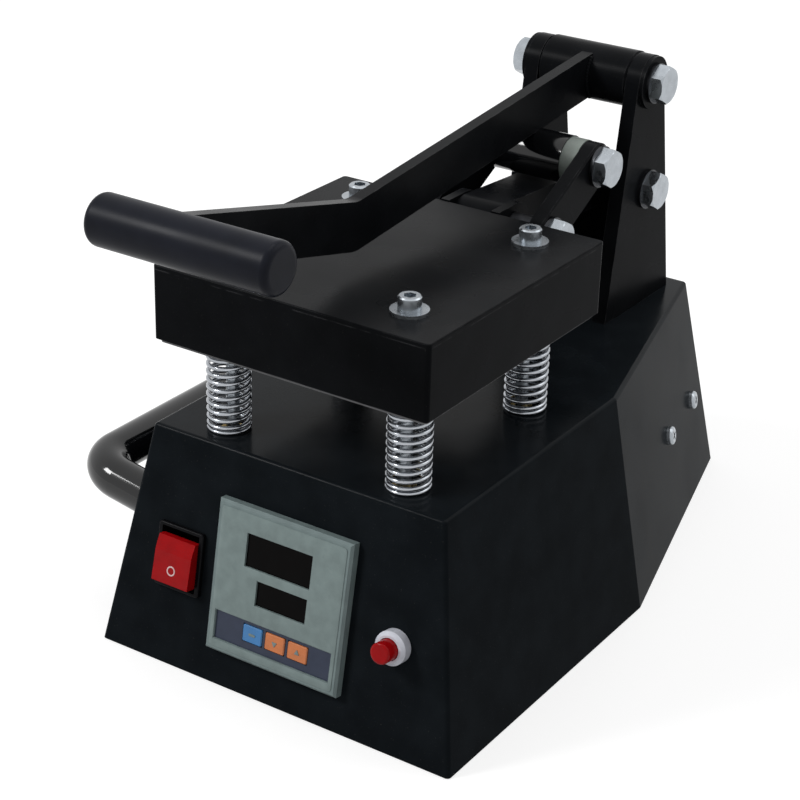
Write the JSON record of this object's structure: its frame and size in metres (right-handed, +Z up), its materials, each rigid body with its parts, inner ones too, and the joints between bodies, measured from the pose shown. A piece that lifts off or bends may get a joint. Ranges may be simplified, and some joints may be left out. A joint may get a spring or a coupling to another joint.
{
  "type": "flat heat press",
  "caption": "Small bench heat press with a leaning sheet housing, temperature controller, sprung flat platen, toggle links and a hand lever.",
  "frame": {"origin": "centre of the underside of the housing, on the bench", "axes": "+X to the right seen from the front, +Y to the back, +Z up"},
  "size_m": [0.2278, 0.4041, 0.249],
  "materials": {
    "band_slate": "matt film",
    "board_green": "laminate",
    "bolt_zinc": "zinc plated",
    "brass": "bright",
    "bush_pale": "nylon",
    "cast_aluminium": "cast and faced",
    "controller_grey": "satin moulding",
    "felt_pale": "ceramic fibre",
    "frame_black": "satin paint",
    "grip_black": "satin sleeve",
    "handle_black": "gloss enamel",
    "housing_black": "satin powder coat",
    "inner_black": "matt moulding",
    "key_blue": "satin",
    "key_orange": "satin",
    "plate_zinc": "zinc plated",
    "rubber_black": "matt",
    "screw_dark": "black oxide",
    "spring_steel": "bright wire",
    "switch_black": "gloss",
    "switch_red": "gloss",
    "switch_white": "gloss",
    "window_dark": "smoked"
  },
  "bodies": {
    "base": {"base_shell": "housing_black", "bottom_plate": "plate_zinc", "housing_screws": "bolt_zinc", "inner_frame": "plate_zinc", "frame_bolts": "bolt_zinc", "upright_left": "frame_black", "upright_right": "frame_black", "rear_brace": "frame_black", "upright_bolts": "bolt_zinc", "upright_nuts": "bolt_zinc", "upright_washers": "screw_dark", "guide_bushes": "brass", "controller_bezel": "controller_grey", "controller_windows": "window_dark", "controller_digits": "inner_black", "controller_band": "band_slate", "controller_board": "board_green", "controller_case": "inner_black", "rocker_bezel": "switch_black", "button_bezel": "switch_white", "button_nut": "switch_white", "power_inlet": "switch_black", "inlet_pins": "brass", "inlet_screws": "bolt_zinc", "power_relay": "inner_black", "terminal_block": "switch_white", "lead_grommet": "rubber_black", "carry_handle": "handle_black", "handle_nuts": "bolt_zinc", "springs": "spring_steel"},
    "lever": {"lever_bar": "frame_black", "hinge_tube": "frame_black", "cross_tube": "handle_black", "grip": "grip_black", "mid_bolt": "bolt_zinc", "mid_nut": "bolt_zinc", "mid_bush": "bush_pale", "mid_washer": "screw_dark"},
    "links": {"link_left": "frame_black", "link_right": "frame_black"},
    "swing_arm": {"swing_arm": "frame_black", "low_bolt": "bolt_zinc", "low_nut": "bolt_zinc", "low_rings": "screw_dark"},
    "platen": {"heater_plate": "cast_aluminium", "heating_element": "bolt_zinc", "insulation_felt": "felt_pale", "platen_shroud": "frame_black", "platen_lid": "frame_black", "platen_lugs": "frame_black", "lug_screws": "bolt_zinc", "heat_probe": "brass", "guide_screws": "bolt_zinc", "guide_washers": "bolt_zinc", "spring_seats": "frame_black"},
    "key_set": {"key_set": "key_blue"},
    "key_down": {"key_down": "key_orange"},
    "key_up": {"key_up": "key_orange"},
    "rocker": {"rocker": "switch_red"},
    "button": {"button_cap": "switch_red"}
  },
  "joints": [
    {"name": "lever_lift", "type": "hinge", "parent": "base", "child": "lever", "pos_m": [0, 0.10045, 0.2293], "axis": [-1, 0, 0], "range_deg": [0, 24]},
    {"name": "link_swing", "type": "hinge", "parent": "lever", "child": "links", "pos_m": [0, 0.04345, 0.2025], "axis": [1, 0, 0], "range_deg": [0, 41.36]},
    {"name": "arm_swing", "type": "hinge", "parent": "base", "child": "swing_arm", "pos_m": [0, 0.10445, 0.1729], "axis": [-1, 0, 0], "range_deg": [0, 7.24]},
    {"name": "platen_rise", "type": "slide", "parent": "base", "child": "platen", "axis": [0, 0, 1], "range_m": [0, 0.01309], "deforming": ["springs"]},
    {"name": "rocker_tilt", "type": "hinge", "parent": "base", "child": "rocker", "pos_m": [-0.0553, -0.1574, 0.05171], "axis": [1, 0, 0], "range_deg": [0, 14]},
    {"name": "button_press", "type": "slide", "parent": "base", "child": "button", "axis": [0, 0.9849, -0.1731], "range_m": [0, 0.003], "stiffness_N_per_m": 600},
    {"name": "key_set_press", "type": "slide", "parent": "base", "child": "key_set", "axis": [0, 0.9849, -0.1731], "range_m": [0, 0.0006], "stiffness_N_per_m": 1500},
    {"name": "key_down_press", "type": "slide", "parent": "base", "child": "key_down", "axis": [0, 0.9849, -0.1731], "range_m": [0, 0.0006], "stiffness_N_per_m": 1500},
    {"name": "key_up_press", "type": "slide", "parent": "base", "child": "key_up", "axis": [0, 0.9849, -0.1731], "range_m": [0, 0.0006], "stiffness_N_per_m": 1500}
  ],
  "couplings": [
    {"joint": "link_swing", "follows": "lever_lift", "ratio": 1.7149},
    {"joint": "arm_swing", "follows": "lever_lift", "ratio": 0.2974},
    {"joint": "platen_rise", "follows": "lever_lift", "m_per_rad": 0.03102}
  ]
}
